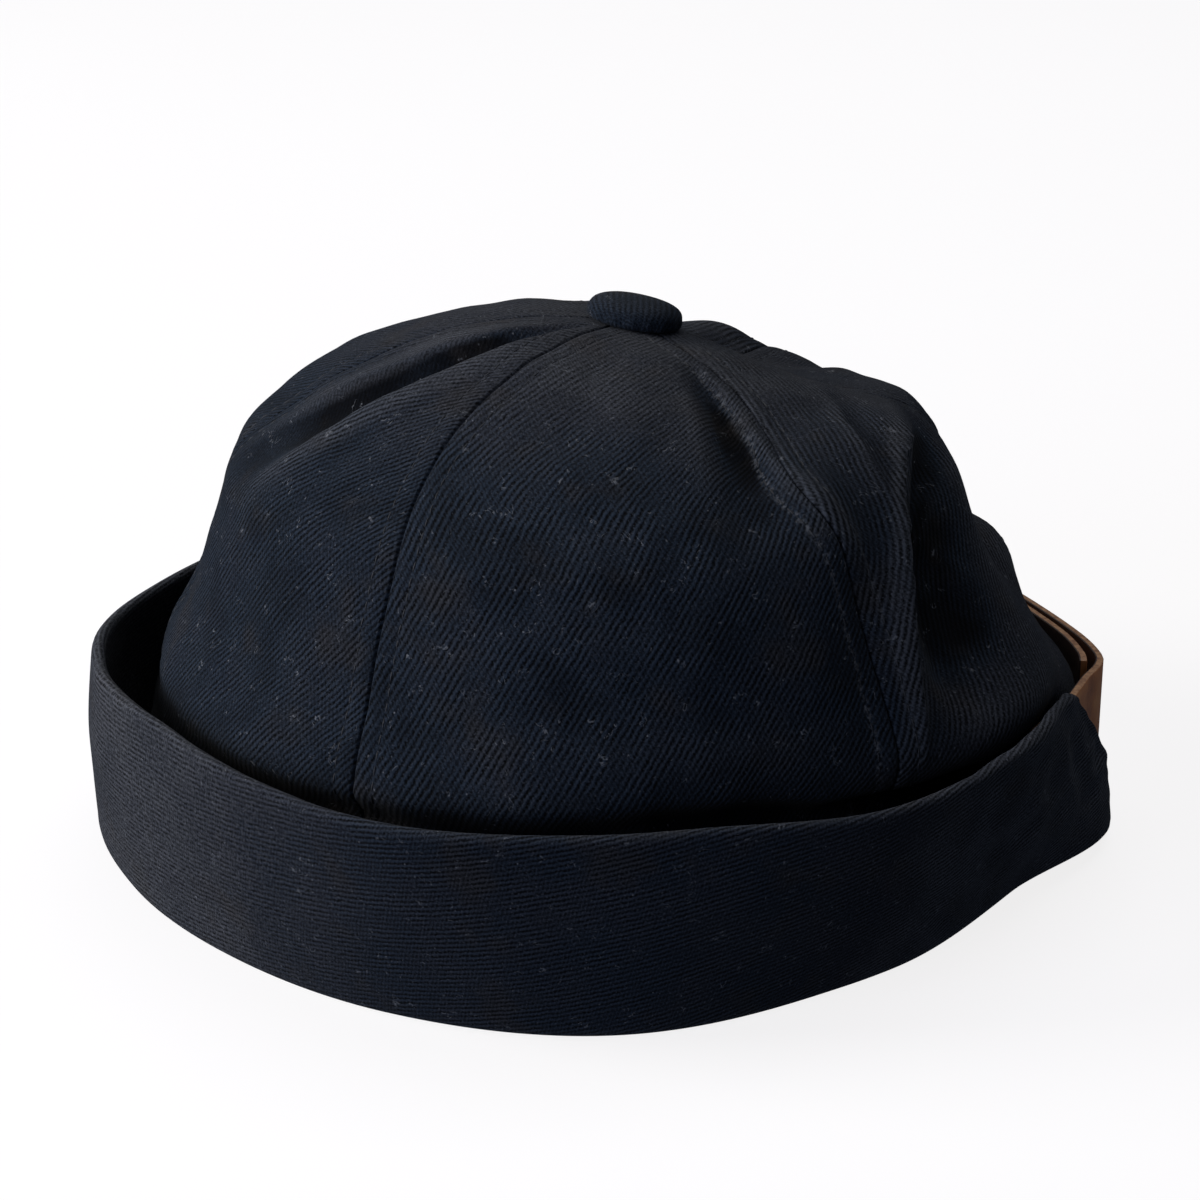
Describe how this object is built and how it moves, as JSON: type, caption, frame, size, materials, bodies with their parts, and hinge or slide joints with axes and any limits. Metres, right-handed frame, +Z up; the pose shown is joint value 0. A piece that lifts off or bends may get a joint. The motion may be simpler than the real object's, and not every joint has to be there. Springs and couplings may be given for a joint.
{
  "type": "fisherman cap",
  "caption": "Brimless twill cap with sewn crown panels, a turned-up cuff, a covered button on top and a leather strap across the back.",
  "frame": {"origin": "centre of the cap's box, on the surface that its foot stands on", "axes": "+Z up, -Y to the front of the cap, +X to the wearer's left"},
  "size_m": [0.2026, 0.2033, 0.1152],
  "materials": {
    "twill": "heavy black cotton twill, matt",
    "leather": "tan vegetable-tanned leather, cut edges left raw",
    "brass": "aged brass, dull"
  },
  "bodies": {
    "root": {"crown_panel_front": "twill", "crown_panel_front_left": "twill", "crown_panel_back_left": "twill", "crown_panel_back": "twill", "crown_panel_back_right": "twill", "crown_panel_front_right": "twill", "cuff": "twill", "crown_button": "twill", "strap_outer": "leather", "strap_inner": "leather", "strap_stud": "brass"}
  },
  "joints": []
}
